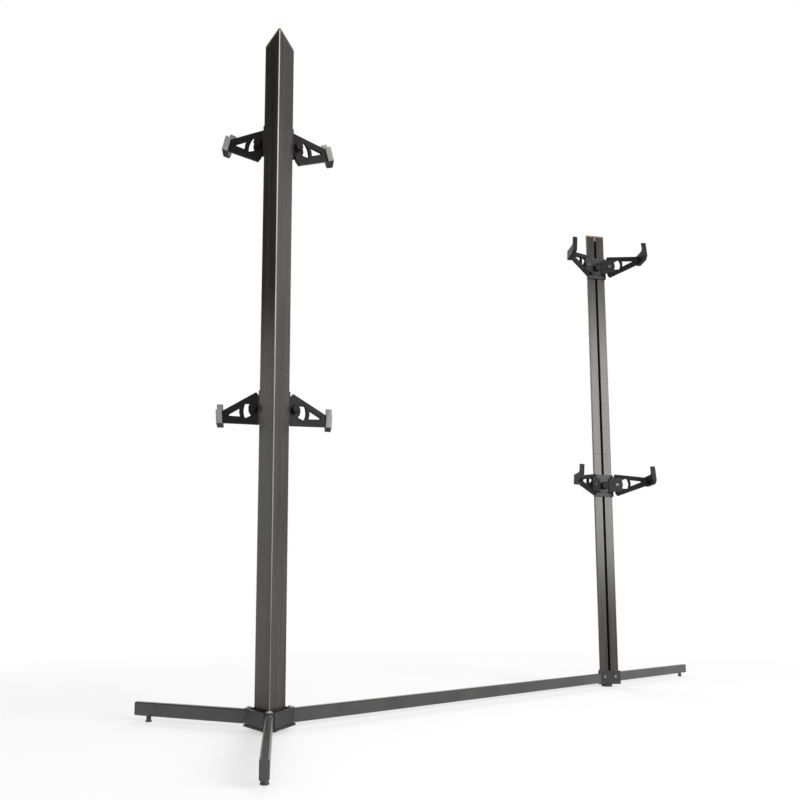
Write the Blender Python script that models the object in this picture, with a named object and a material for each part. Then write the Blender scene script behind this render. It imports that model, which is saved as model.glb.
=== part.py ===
"""Free-standing parking stand with four cradles, in metres, +Z up.

Two triangular columns are joined by a long floor beam. The left column stands in a three-armed
hub at the origin, the right one in a sleeve on the beam. Each column carries two cradles, which
slide along its slot, and each cradle has two truss arms that tilt and end in padded hooks.
The left column's cradles are on its +Y side, those of the right column on its -Y side.
"""

import math

import bmesh
import bpy
from mathutils import Matrix, Vector

# Columns: an equilateral tube with a slot down the middle of the side that carries the cradles
COLUMN_SIDE = 0.0915
COLUMN_WALL = 0.0025
COLUMN_CORNER = 0.004
COLUMN_INNER_CORNER = 0.0015
SLOT_WIDTH = 0.010
STAND_HEIGHT = 2.05
SPLICE_HEIGHT = 1.024
COLUMN_SPACING = 1.66

# Directions of the beam and of the two legs at the left column
BEAM_ANGLE = math.radians(30)
LEFT_LEG_ANGLE = math.radians(150)
FRONT_LEG_ANGLE = math.radians(270)

# Channels inside the columns: one at the foot, one across the splice
CHANNEL_WALL = 0.003
CHANNEL_EDGE = 0.013
CHANNEL_NOSE = 0.005
SPLICE_LENGTH = 0.160
FOOT_CHANNEL_LENGTH = 0.110

# Column caps
CAP_PLATE = 0.006
CAP_PLUG = 0.016

# Legs and beam, one rectangular tube size
LEG_WIDTH = 0.020
LEG_DEPTH = 0.040
LEG_WALL = 0.002
LEG_CORNER = 0.003
LEFT_LEG_REACH = 0.46
FRONT_LEG_REACH = 0.58
RIGHT_LEG_REACH = 0.70
END_PLATE = 0.004
END_PLUG = 0.018
FOOT_FROM_END = 0.024

# Levelling feet and the two fixed pads
FOOT_RADIUS = 0.009
FOOT_SOLE = 0.006
FOOT_SOLE_CHAMFER = 0.0024
PEG_RADIUS = 0.007
STUD_RADIUS = 0.005
STUD_RISE = 0.020
FOOT_HOLE_CLEARANCE = 0.0006
PAD_RADIUS = 0.022

# Hub of the left column: a low triangular tray with a foot plate
HUB_FLOOR = 0.012
HUB_PLATE = 0.005
HUB_WALL = 0.004
HUB_SIDE = 0.165
HUB_CORNER_FLAT = 0.030
HUB_FLANGE = 0.004
HUB_RIM = 0.003
TAB_RADIUS = 0.0125
TAB_THICKNESS = 0.003

# Sleeve of the right column
SLEEVE_WALL = 0.005
SLEEVE_HEIGHT = 0.052
SLEEVE_NOSE = 0.006
SPIGOT_LENGTH = 0.080

# Cradles
LEFT_UPPER_CRADLE = 1.745
LEFT_LOWER_CRADLE = 0.920
RIGHT_UPPER_CRADLE = 1.890
RIGHT_LOWER_CRADLE = 0.880
PLATE_THICKNESS = 0.004
PLATE_HALF_HEIGHT = 0.049
BOSS_HALF_WIDTH = 0.019
BOSS_DEPTH = 0.008
EAR_THICKNESS = 0.0035
EAR_HALF_HEIGHT = 0.030
EAR_REACH = 0.022
EAR_SPARE = 0.005

# Truss arms
ARM_SPREAD = math.radians(30)
ARM_THICKNESS = 0.008
ARM_LENGTH = 0.126
ROOT_BACK = 0.004
ROOT_HEEL_BACK = 0.012
ROOT_HEEL_HALF = 0.036
ROOT_HALF = 0.049
TIP_TOP = 0.012
TIP_BOTTOM = 0.020
CRESCENT_INNER = 0.0245
CRESCENT_INNER_SPAN = 48
CRESCENT_OUTER = 0.0455
CRESCENT_OUTER_SPAN = 30
WINDOW_START = 0.0545
WINDOW_END = 0.0965
WINDOW_HALF = 0.0140
TILT_LIMIT = math.radians(30)
ARM_CLEARANCE = 0.001

# Rest tilts, positive with the hooks raised
LEFT_UPPER_TILT = math.radians(18)
LEFT_LOWER_TILT = math.radians(-4)
RIGHT_UPPER_TILT = math.radians(5)
RIGHT_LOWER_TILT = math.radians(5)

# Hooks at the arm tips
HOOK_WIDTH = 0.019
HOOK_DEPTH = 0.060
HOOK_BELOW = 0.024
HOOK_ABOVE = 0.052
HOOK_FLOOR = 0.0160
HOOK_BACK = 0.009
FINGER_THICKNESS = 0.006
FINGER_ROUND = 0.003
HOOK_CHAMFER = 0.014
HOOK_THROAT = 0.008
LINER_THICKNESS = 0.003
LINER_LIP = 0.004
LINER_INSET = 0.0005

# Arm knobs, on studs through ear and arm
KNOB_RADIUS = 0.0135
KNOB_LOBES = 6
KNOB_LOBE_DEPTH = 0.0012
LOBED_SHARE = 0.8
KNOB_THICKNESS = 0.012
KNOB_EDGE = 0.0024
KNOB_NECK = 0.008
KNOB_NECK_RADIUS = 0.008
KNOB_CLEARANCE = 0.002
BOLT_RADIUS = 0.004
BOLT_CLEARANCE = 0.0005
HEAD_RADIUS = 0.0075
HEAD_THICKNESS = 0.004

# Height locks: a T-bolt in the slot and a knob on it
TEE_HALF = 0.008
TEE_THICKNESS = 0.005
LOCK_KNOB_RADIUS = 0.018
LOCK_KNOB_THICKNESS = 0.016
LOCK_KNOB_EDGE = 0.0032
LOCK_KNOB_TAPER = 0.0054
LOCK_BORE_DEPTH = 0.011

# The gap that touching pieces keep
GAP = 0.0003

# Sizes that follow
face_distance = COLUMN_SIDE / (2 * math.sqrt(3))
half_side = COLUMN_SIDE / 2
bore_distance = face_distance - COLUMN_WALL
column_foot = HUB_FLOOR + HUB_PLATE + GAP
column_top = STAND_HEIGHT - CAP_PLATE
leg_bottom = HUB_FLOOR + HUB_PLATE + GAP
leg_top = leg_bottom + LEG_DEPTH
hub_face = HUB_SIDE / (2 * math.sqrt(3))
hub_corner = 2 * hub_face - HUB_CORNER_FLAT * math.sqrt(3) / 2
column_corner = 2 * face_distance - COLUMN_CORNER
leg_start = column_corner + 2 * HUB_WALL
sleeve_face = face_distance + GAP + SLEEVE_WALL
sleeve_corner = 2 * sleeve_face - SLEEVE_NOSE
right_column = Vector((math.cos(BEAM_ANGLE), math.sin(BEAM_ANGLE), 0)) * COLUMN_SPACING
plate_back = face_distance + GAP
plate_front = plate_back + PLATE_THICKNESS
boss_front = plate_back + BOSS_DEPTH
bolt_hole = BOLT_RADIUS + BOLT_CLEARANCE
ear_near = ARM_THICKNESS / 2 + GAP
ear_far = ear_near + EAR_THICKNESS
neck_end = ARM_THICKNESS / 2 + GAP + KNOB_NECK


def swept_back(back, half):
    """How far behind the pivot a root corner reaches at the tilt limit."""
    return back * math.cos(TILT_LIMIT) + half * math.sin(TILT_LIMIT)


root_sweep = max(swept_back(ROOT_BACK, ROOT_HALF), swept_back(ROOT_HEEL_BACK, ROOT_HEEL_HALF))
pivot_x = (
    half_side + KNOB_CLEARANCE - neck_end * math.sin(ARM_SPREAD) + KNOB_RADIUS * math.cos(ARM_SPREAD)
)
pivot_y = (
    plate_front
    + ARM_CLEARANCE
    + root_sweep * math.sin(ARM_SPREAD)
    + ARM_THICKNESS / 2 * math.cos(ARM_SPREAD)
)


def clear_scene():
    for thing in list(bpy.data.objects):
        bpy.data.objects.remove(thing, do_unlink=True)


def material(name, colour, roughness, metallic):
    made = bpy.data.materials.new(name)
    made.use_nodes = True
    shader = made.node_tree.nodes["Principled BSDF"]
    shader.inputs["Base Color"].default_value = (*colour, 1)
    shader.inputs["Roughness"].default_value = roughness
    shader.inputs["Metallic"].default_value = metallic
    return made


def mesh_from(bm):
    """A mesh with its faces pointing out, shaded smooth up to 35 degrees."""
    bmesh.ops.recalc_face_normals(bm, faces=bm.faces)
    if bm.calc_volume(signed=True) < 0:
        bmesh.ops.reverse_faces(bm, faces=bm.faces)
    mesh = bpy.data.meshes.new("shape")
    bm.to_mesh(mesh)
    bm.free()
    mesh.shade_smooth()
    mesh.set_sharp_from_angle(angle=math.radians(35))
    return mesh


def slab(outline, low, high, plane="XY"):
    """An outline drawn in a plane, extruded along the plane's normal from low to high."""
    spots = {
        "XY": lambda a, b, t: (a, b, t),
        "XZ": lambda a, b, t: (a, t, b),
        "YZ": lambda a, b, t: (t, a, b),
    }[plane]
    bm = bmesh.new()
    rings = [[bm.verts.new(spots(a, b, level)) for a, b in outline] for level in (low, high)]
    bm.faces.new(rings[0])
    bm.faces.new(rings[1])
    for i in range(len(outline)):
        j = (i + 1) % len(outline)
        bm.faces.new((rings[0][i], rings[0][j], rings[1][j], rings[1][i]))
    return mesh_from(bm)


def pipe(outer, inner, low, high):
    """A straight tube along X, from two outlines in YZ with as many points each."""
    bm = bmesh.new()
    loops = [
        [bm.verts.new((level, a, b)) for a, b in outline]
        for level in (low, high)
        for outline in (outer, inner)
    ]
    for first, second in ((0, 2), (1, 3), (0, 1), (2, 3)):
        for i in range(len(outer)):
            j = (i + 1) % len(outer)
            bm.faces.new((loops[first][i], loops[first][j], loops[second][j], loops[second][i]))
    return mesh_from(bm)


def turned(profile, segments, lobes=None):
    """A profile of (radius, height) turned about Z, closed at both ends on the axis.

    lobes holds the count and depth of the waves that a grip carries on its widest rings, those
    past a share of the widest radius.
    """
    widest = max(radius for radius, _ in profile)
    count, full_depth = lobes or (0, 0)
    bm = bmesh.new()
    rings = []
    for radius, height in profile:
        depth = full_depth if radius > LOBED_SHARE * widest else 0
        ring = []
        for i in range(segments):
            angle = 2 * math.pi * i / segments
            spread = radius - depth + depth * math.cos(count * angle)
            ring.append(bm.verts.new((spread * math.cos(angle), spread * math.sin(angle), height)))
        rings.append(ring)
    for below, above in zip(rings, rings[1:]):
        for i in range(segments):
            j = (i + 1) % segments
            bm.faces.new((below[i], below[j], above[j], above[i]))
    bm.faces.new(rings[0])
    bm.faces.new(rings[-1])
    return mesh_from(bm)


def rounded_triangle(distance, corner, steps=3):
    """Outline of an equilateral triangle with a face at +Y, its faces this far from the centre."""
    points = []
    for k in range(3):
        out = math.radians(150 + 120 * k)
        centre = 2 * (distance - corner)
        for i in range(steps + 1):
            angle = out + math.radians(-60 + 120 * i / steps)
            points.append(
                (
                    centre * math.cos(out) + corner * math.cos(angle),
                    centre * math.sin(out) + corner * math.sin(angle),
                )
            )
    return points


def cut_triangle(distance, corner_distance):
    """The same triangle with its corners cut off square at this distance."""
    points = []
    half = (2 * distance - corner_distance) * math.tan(math.radians(30))
    for k in range(3):
        out = math.radians(150 + 120 * k)
        for side in (-half, half):
            points.append(
                (
                    corner_distance * math.cos(out) - side * math.sin(out),
                    corner_distance * math.sin(out) + side * math.cos(out),
                )
            )
    return points


def rectangle(width, low, high, corner):
    """Outline of a rectangle with small cut corners, centred on the first axis."""
    x = width / 2
    return [
        (-x + corner, low),
        (x - corner, low),
        (x, low + corner),
        (x, high - corner),
        (x - corner, high),
        (-x + corner, high),
        (-x, high - corner),
        (-x, low + corner),
    ]


def placed(mesh, matrix):
    copy = mesh.copy()
    copy.transform(matrix)
    return copy


def worked(base, tools):
    """The base mesh after a list of (mesh, operation) has been cut from it or joined to it."""
    body = bpy.data.objects.new("body", base)
    bpy.context.collection.objects.link(body)
    helpers = []
    for mesh, operation in tools:
        helper = bpy.data.objects.new("tool", mesh)
        bpy.context.collection.objects.link(helper)
        helpers.append(helper)
        step = body.modifiers.new("step", "BOOLEAN")
        step.object = helper
        step.operation = operation
        step.solver = "EXACT"
    bpy.context.view_layer.update()
    seen = body.evaluated_get(bpy.context.evaluated_depsgraph_get())
    mesh = bpy.data.meshes.new_from_object(seen)
    for thing in [body, *helpers]:
        bpy.data.objects.remove(thing, do_unlink=True)
    mesh.shade_smooth()
    mesh.set_sharp_from_angle(angle=math.radians(35))
    return mesh


def mirrored(mesh):
    """The other hand of a piece, across its own XZ plane."""
    bm = bmesh.new()
    bm.from_mesh(mesh)
    for vertex in bm.verts:
        vertex.co.y = -vertex.co.y
    return mesh_from(bm)


def node(name, mesh, finish, parent=None, spot=(0, 0, 0), turn=None):
    """A named piece at its place under its parent."""
    own = mesh.copy()
    own.name = name
    own.materials.clear()
    own.materials.append(finish.copy())
    own.materials[0].name = f"{name}_{finish.name}"
    piece = bpy.data.objects.new(name, own)
    bpy.context.collection.objects.link(piece)
    piece.parent = parent
    piece.matrix_local = Matrix.Translation(spot) @ (turn or Matrix.Identity(4))
    return piece


def axis_frame(name, spot, turn=0, parent=None):
    """An empty that carries pieces sharing a place."""
    frame = bpy.data.objects.new(name, None)
    bpy.context.collection.objects.link(frame)
    frame.parent = parent
    frame.matrix_local = Matrix.Translation(spot) @ Matrix.Rotation(turn, 4, "Z")
    return frame


def column_outline():
    """The slotted tube's section: outside round, then back along the inside."""
    half = SLOT_WIDTH / 2
    outside = rounded_triangle(face_distance, COLUMN_CORNER)
    inside = rounded_triangle(bore_distance, COLUMN_INNER_CORNER)
    return [
        (-half, face_distance),
        *outside,
        (half, face_distance),
        (half, bore_distance),
        *reversed(inside),
        (-half, bore_distance),
    ]


def channel_outline():
    """A V along the two closed faces, open towards the slot."""
    outer = bore_distance - GAP
    inner = outer - CHANNEL_WALL
    slope = math.tan(math.radians(30))

    def flank(distance, y):
        return (y + 2 * distance) * slope

    nose = CHANNEL_NOSE - 2 * outer
    top = CHANNEL_EDGE
    return [
        (-flank(outer, top), top),
        (-flank(outer, nose), nose),
        (flank(outer, nose), nose),
        (flank(outer, top), top),
        (flank(inner, top), top),
        (0, -2 * inner),
        (-flank(inner, top), top),
    ]


def make_column(side, frame, steel, plastic):
    """Lower and upper tube, the two channels inside, and the cap."""
    section = column_outline()
    channel = channel_outline()
    half_splice = SPLICE_LENGTH / 2
    node(f"{side}_column_lower", slab(section, column_foot, SPLICE_HEIGHT - GAP), steel, frame)
    node(f"{side}_column_upper", slab(section, SPLICE_HEIGHT, column_top - GAP), steel, frame)
    node(
        f"{side}_splice_channel",
        slab(channel, SPLICE_HEIGHT - half_splice, SPLICE_HEIGHT + half_splice),
        steel,
        frame,
    )
    node(
        f"{side}_foot_channel",
        slab(channel, column_foot, column_foot + FOOT_CHANNEL_LENGTH),
        steel,
        frame,
    )
    plate = slab(rounded_triangle(face_distance, COLUMN_CORNER), column_top, STAND_HEIGHT)
    plug_outline = rounded_triangle(bore_distance - GAP, COLUMN_INNER_CORNER + GAP)
    plug = slab(plug_outline, column_top - CAP_PLUG, column_top + CAP_PLATE / 2)
    node(f"{side}_column_cap", worked(plate, [(plug, "UNION")]), plastic, frame)


def along(angle):
    return Matrix.Rotation(angle, 4, "Z")


def leg_slot(angle):
    """What a leg needs cut from the hub, with its gap."""
    outline = rectangle(LEG_WIDTH + 2 * GAP, leg_bottom - GAP, leg_top + GAP, LEG_CORNER)
    return placed(slab(outline, leg_start - GAP, 2 * hub_corner, "YZ"), along(angle))


def make_left_hub(finish):
    """A tray with a flanged foot plate, a wall along each face and a tab over each leg."""
    wall_top = leg_top + HUB_RIM
    outer = cut_triangle(hub_face, hub_corner)
    plate = slab(
        cut_triangle(hub_face + HUB_FLANGE, hub_corner + HUB_FLANGE), HUB_FLOOR, HUB_FLOOR + HUB_PLATE
    )
    walls = slab(outer, HUB_FLOOR + HUB_PLATE / 2, wall_top)
    pocket = slab(
        rounded_triangle(hub_face - HUB_WALL, COLUMN_INNER_CORNER), HUB_FLOOR + HUB_PLATE, wall_top + HUB_RIM
    )
    steps = [(walls, "UNION"), (pocket, "DIFFERENCE")]
    directions = (BEAM_ANGLE, LEFT_LEG_ANGLE, FRONT_LEG_ANGLE)
    for angle in directions:
        steps.append((leg_slot(angle), "DIFFERENCE"))
    tab_low = wall_top - TAB_THICKNESS + GAP
    for angle in directions:
        tab = turned([(TAB_RADIUS, tab_low), (TAB_RADIUS, wall_top)], 20)
        tab.transform(Matrix.Translation((column_corner + TAB_RADIUS + HUB_WALL, 0, 0)))
        steps.append((placed(tab, along(angle)), "UNION"))
    return node("left_hub", worked(plate, steps), finish)


def make_right_sleeve(frame, finish):
    """A sleeve round the right column's foot, with spigots into the beam and the right leg."""
    outer = cut_triangle(sleeve_face, sleeve_corner)
    body = slab(outer, HUB_FLOOR, HUB_FLOOR + HUB_PLATE + SLEEVE_HEIGHT)
    seat = rounded_triangle(face_distance + GAP, COLUMN_CORNER + GAP)
    pocket = slab(seat, HUB_FLOOR + HUB_PLATE, HUB_FLOOR + HUB_PLATE + 2 * SLEEVE_HEIGHT)
    inner = rectangle(
        LEG_WIDTH - 2 * (LEG_WALL + GAP),
        leg_bottom + LEG_WALL + GAP,
        leg_top - LEG_WALL - GAP,
        LEG_CORNER,
    )
    to_beam = slab(inner, sleeve_corner - SLEEVE_WALL / 2, sleeve_corner + SPIGOT_LENGTH, "YZ")
    to_leg = slab(inner, sleeve_face - SLEEVE_WALL / 2, sleeve_face + SPIGOT_LENGTH, "YZ")
    steps = [
        (placed(to_beam, along(BEAM_ANGLE)), "UNION"),
        (placed(to_leg, along(math.pi + BEAM_ANGLE)), "UNION"),
        (pocket, "DIFFERENCE"),
    ]
    return node("right_sleeve", worked(body, steps), finish, frame)


def tube(start, end, foot_at=None):
    """A leg tube along X, with a hole in its underside for a levelling foot."""
    inner = rectangle(
        LEG_WIDTH - 2 * LEG_WALL, leg_bottom + LEG_WALL, leg_top - LEG_WALL, LEG_CORNER - LEG_WALL / 2
    )
    mesh = pipe(rectangle(LEG_WIDTH, leg_bottom, leg_top, LEG_CORNER), inner, start, end)
    if foot_at is None:
        return mesh
    radius = STUD_RADIUS + FOOT_HOLE_CLEARANCE
    hole = turned([(radius, leg_bottom - LEG_WALL), (radius, leg_bottom + 2 * LEG_WALL)], 16)
    hole.transform(Matrix.Translation((foot_at, 0, 0)))
    return worked(mesh, [(hole, "DIFFERENCE")])


def end_cap(end):
    """A plastic plug with a plate over the tube's end."""
    plate = slab(
        rectangle(LEG_WIDTH, leg_bottom, leg_top, LEG_CORNER), end + GAP, end + END_PLATE, "YZ"
    )
    inner = rectangle(
        LEG_WIDTH - 2 * (LEG_WALL + GAP),
        leg_bottom + LEG_WALL + GAP,
        leg_top - LEG_WALL - GAP,
        LEG_CORNER - LEG_WALL / 2,
    )
    return worked(plate, [(slab(inner, end - END_PLUG, end + END_PLATE / 2, "YZ"), "UNION")])


def levelling_foot():
    """Sole, peg and threaded stud, standing on the floor at its own axis."""
    peg_top = leg_bottom - GAP
    return turned(
        [
            (FOOT_RADIUS, 0),
            (FOOT_RADIUS, FOOT_SOLE - FOOT_SOLE_CHAMFER),
            (PEG_RADIUS, FOOT_SOLE),
            (PEG_RADIUS, peg_top),
            (STUD_RADIUS, peg_top),
            (STUD_RADIUS, peg_top + STUD_RISE),
        ],
        16,
    )


def make_leg(name, frame, angle, start, reach, steel, plastic):
    """A leg with its end cap and its levelling foot; reach is to the end cap's face."""
    turn = along(angle)
    end = reach - END_PLATE
    foot_at = end - FOOT_FROM_END - END_PLUG
    node(f"{name}_leg", tube(start, end, foot_at), steel, frame, turn=turn)
    node(f"{name}_end_cap", end_cap(end), plastic, frame, turn=turn)
    spot = turn @ Vector((foot_at, 0, 0))
    node(f"{name}_levelling_foot", levelling_foot(), plastic, frame, spot)


def floor_pad(name, frame, finish):
    pad = turned([(PAD_RADIUS, 0), (PAD_RADIUS, HUB_FLOOR - GAP)], 24)
    node(name, pad, finish, frame)


def arm_spot(out, inward):
    """A point in the cradle's plan: so far along the right arm, so far to its inner side."""
    return (
        pivot_x + out * math.cos(ARM_SPREAD) - inward * math.sin(ARM_SPREAD),
        pivot_y + out * math.sin(ARM_SPREAD) + inward * math.cos(ARM_SPREAD),
    )


def pivot_bore(radius, low, high, segments=16):
    """A cylinder along the arm's own Y axis."""
    bore = turned([(radius, low), (radius, high)], segments)
    bore.transform(Matrix.Rotation(-math.pi / 2, 4, "X"))
    return bore


def bracket_mesh():
    """A plate on the column's slotted side with a boss for the lock and an ear for each arm."""
    back = root_sweep + EAR_SPARE
    near_back = arm_spot(-back, ear_near)
    right = [
        (near_back[0], plate_front - PLATE_THICKNESS / 2),
        near_back,
        arm_spot(EAR_REACH, ear_near),
        arm_spot(EAR_REACH, ear_far),
        arm_spot(-back, ear_far),
        (BOSS_HALF_WIDTH, boss_front),
    ]
    left = [(-x, y) for x, y in reversed(right)]
    ears = slab([*right, *left], -EAR_HALF_HEIGHT, EAR_HALF_HEIGHT)
    plate_outline = [
        (-half_side, plate_back),
        (half_side, plate_back),
        (half_side, plate_front),
        (-half_side, plate_front),
    ]
    plate = slab(plate_outline, -PLATE_HALF_HEIGHT, PLATE_HALF_HEIGHT)
    steps = [(ears, "UNION")]
    lock_bore = pivot_bore(bolt_hole, plate_back - PLATE_THICKNESS, boss_front + PLATE_THICKNESS)
    steps.append((lock_bore, "DIFFERENCE"))
    for side in (1, -1):
        bore = pivot_bore(bolt_hole, 0, ear_far + EAR_THICKNESS)
        bore.transform(Matrix.Rotation(ARM_SPREAD, 4, "Z"))
        bore.transform(Matrix.Translation((pivot_x, pivot_y, 0)))
        steps.append((bore if side > 0 else flipped(bore), "DIFFERENCE"))
    return worked(plate, steps)


def flipped(mesh):
    """The mirror image across the cradle's YZ plane."""
    bm = bmesh.new()
    bm.from_mesh(mesh)
    for vertex in bm.verts:
        vertex.co.x = -vertex.co.x
    return mesh_from(bm)


def arc(radius, start, end, steps):
    return [
        (
            radius * math.cos(math.radians(start + (end - start) * i / steps)),
            radius * math.sin(math.radians(start + (end - start) * i / steps)),
        )
        for i in range(steps + 1)
    ]


def hook_frame():
    """From the hook's own axes, which follow the cradle's, to the right arm's axes."""
    tip_x, tip_y = arm_spot(ARM_LENGTH - HOOK_THROAT, 0)
    corner = Vector((tip_x - pivot_x, tip_y - pivot_y - HOOK_BACK, 0))
    return Matrix.Rotation(-ARM_SPREAD, 4, "Z") @ Matrix.Translation(corner)


def hook_outline():
    """Side view of the hook's black body: a block under the rest and a finger in front."""
    back = LINER_THICKNESS + GAP
    inner = HOOK_DEPTH - FINGER_THICKNESS
    return [
        (back, HOOK_FLOOR),
        (back, -HOOK_BELOW),
        (HOOK_DEPTH - HOOK_CHAMFER, -HOOK_BELOW),
        (HOOK_DEPTH, HOOK_CHAMFER - HOOK_BELOW),
        (HOOK_DEPTH, HOOK_ABOVE - FINGER_ROUND),
        (HOOK_DEPTH - FINGER_ROUND, HOOK_ABOVE),
        (inner, HOOK_ABOVE),
        (inner, HOOK_FLOOR + HOOK_THROAT),
        (inner - HOOK_THROAT, HOOK_FLOOR),
    ]


def liner_outline():
    """The grey strip: down the hook's back, over its rest and up the finger."""
    outer_back = LINER_THICKNESS
    floor = HOOK_FLOOR + GAP
    rest = floor + LINER_THICKNESS
    wall = HOOK_DEPTH - FINGER_THICKNESS - GAP
    face = wall - LINER_THICKNESS
    bend = GAP * math.tan(math.radians(22.5))
    return [
        (0, -HOOK_BELOW),
        (outer_back, -HOOK_BELOW),
        (outer_back, floor),
        (wall - HOOK_THROAT + GAP - bend, floor),
        (wall, floor + HOOK_THROAT - GAP + bend),
        (wall, HOOK_ABOVE),
        (face, HOOK_ABOVE),
        (face, rest + HOOK_THROAT),
        (face - HOOK_THROAT, rest),
        (outer_back + LINER_LIP, rest),
        (outer_back, rest + LINER_LIP),
        (0, rest + LINER_LIP),
    ]


def arm_mesh():
    """Right arm in its own frame: X out along the arm, Y to its inner side, pivot at the origin."""
    outline = [
        (-ROOT_HEEL_BACK, -ROOT_HEEL_HALF),
        (-ROOT_BACK, -ROOT_HALF),
        (ARM_LENGTH, -TIP_BOTTOM),
        (ARM_LENGTH, TIP_TOP),
        (-ROOT_BACK, ROOT_HALF),
        (-ROOT_HEEL_BACK, ROOT_HEEL_HALF),
    ]
    half = ARM_THICKNESS / 2
    plate = slab(outline, -half, half, "XZ")
    crescent = arc(CRESCENT_INNER, -CRESCENT_INNER_SPAN, CRESCENT_INNER_SPAN, 6)
    crescent += arc(CRESCENT_OUTER, CRESCENT_OUTER_SPAN, -CRESCENT_OUTER_SPAN, 6)
    window = [
        (WINDOW_START, -WINDOW_HALF),
        (WINDOW_END, -WINDOW_HALF / 4),
        (WINDOW_END, WINDOW_HALF / 8),
        (WINDOW_START, WINDOW_HALF),
        (WINDOW_START + WINDOW_HALF / 6, 0),
    ]
    hook = slab(hook_outline(), 0, HOOK_WIDTH, "YZ")
    hook.transform(hook_frame())
    return worked(
        plate,
        [
            (slab(crescent, -2 * half, 2 * half, "XZ"), "DIFFERENCE"),
            (slab(window, -2 * half, 2 * half, "XZ"), "DIFFERENCE"),
            (pivot_bore(bolt_hole, -2 * half, 2 * half), "DIFFERENCE"),
            (hook, "UNION"),
        ],
    )


def liner_mesh():
    strip = slab(liner_outline(), LINER_INSET, HOOK_WIDTH - LINER_INSET, "YZ")
    strip.transform(hook_frame())
    return strip


def knob_mesh():
    """Head, stud and lobed grip in one, along the arm's Y axis: the grip is on the outer side."""
    base = -(ARM_THICKNESS / 2 + GAP)
    grip_top = base - KNOB_NECK
    grip = turned(
        [
            (KNOB_NECK_RADIUS, base),
            (KNOB_NECK_RADIUS, grip_top),
            (KNOB_RADIUS, grip_top - KNOB_EDGE),
            (KNOB_RADIUS, grip_top - KNOB_THICKNESS + KNOB_EDGE),
            (KNOB_RADIUS - KNOB_EDGE - KNOB_LOBE_DEPTH, grip_top - KNOB_THICKNESS),
        ],
        36,
        (KNOB_LOBES, KNOB_LOBE_DEPTH),
    )
    head_low = ear_far + GAP
    stud = turned([(BOLT_RADIUS, base - KNOB_NECK / 2), (BOLT_RADIUS, head_low + HEAD_THICKNESS / 2)], 12)
    head = turned([(HEAD_RADIUS, head_low), (HEAD_RADIUS, head_low + HEAD_THICKNESS)], 6)
    mesh = worked(grip, [(stud, "UNION"), (head, "UNION")])
    mesh.transform(Matrix.Rotation(-math.pi / 2, 4, "X"))
    return mesh


def tee_bolt_mesh():
    """Square head behind the slot, and a stud out through the bracket, along Y."""
    head_front = bore_distance - GAP
    head = slab(
        [(-TEE_HALF, -TEE_HALF), (TEE_HALF, -TEE_HALF), (TEE_HALF, TEE_HALF), (-TEE_HALF, TEE_HALF)],
        head_front - TEE_THICKNESS,
        head_front,
        "XZ",
    )
    stud = pivot_bore(BOLT_RADIUS, head_front - TEE_THICKNESS / 2, boss_front + LOCK_BORE_DEPTH - GAP, 12)
    return worked(head, [(stud, "UNION")])


def lock_knob_mesh():
    """A lobed knob with a blind bore for the T-bolt's stud, along Y."""
    low = boss_front + GAP
    high = low + LOCK_KNOB_THICKNESS
    grip = turned(
        [
            (LOCK_KNOB_RADIUS - LOCK_KNOB_TAPER, low),
            (LOCK_KNOB_RADIUS, low + 2 * LOCK_KNOB_EDGE),
            (LOCK_KNOB_RADIUS, high - LOCK_KNOB_EDGE),
            (LOCK_KNOB_RADIUS - LOCK_KNOB_EDGE - KNOB_LOBE_DEPTH, high),
        ],
        36,
        (KNOB_LOBES, KNOB_LOBE_DEPTH),
    )
    radius = BOLT_RADIUS + GAP
    bore = turned([(radius, low - LOCK_KNOB_EDGE), (radius, boss_front + LOCK_BORE_DEPTH)], 12)
    mesh = worked(grip, [(bore, "DIFFERENCE")])
    mesh.transform(Matrix.Rotation(-math.pi / 2, 4, "X"))
    return mesh


def make_cradle(name, column, height, tilt, shapes, finishes):
    """A bracket with its lock and its two arms; arm 1 is on the cradle's +X side, arm 2 opposite."""
    frame = axis_frame(f"{name}_cradle_frame", (0, 0, height), parent=column)
    node(f"{name}_bracket", shapes["bracket"], finishes["black"], frame)
    node(f"{name}_tee_bolt", shapes["tee_bolt"], finishes["zinc"], frame)
    node(f"{name}_lock_knob", shapes["lock_knob"], finishes["plastic"], frame)
    for number, side in ((1, 1), (2, -1)):
        turn = Matrix.Rotation(ARM_SPREAD if side > 0 else math.pi - ARM_SPREAD, 4, "Z")
        pivot = axis_frame(f"{name}_pivot_{number}", (side * pivot_x, pivot_y, 0), parent=frame)
        tilted = turn @ Matrix.Rotation(-tilt, 4, "Y")
        node(f"{name}_arm_{number}", shapes["arm", side], finishes["plastic"], pivot, turn=tilted)
        node(f"{name}_liner_{number}", shapes["liner", side], finishes["rubber"], pivot, turn=tilted)
        node(f"{name}_knob_{number}", shapes["knob", side], finishes["plastic"], pivot, turn=turn)


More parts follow.
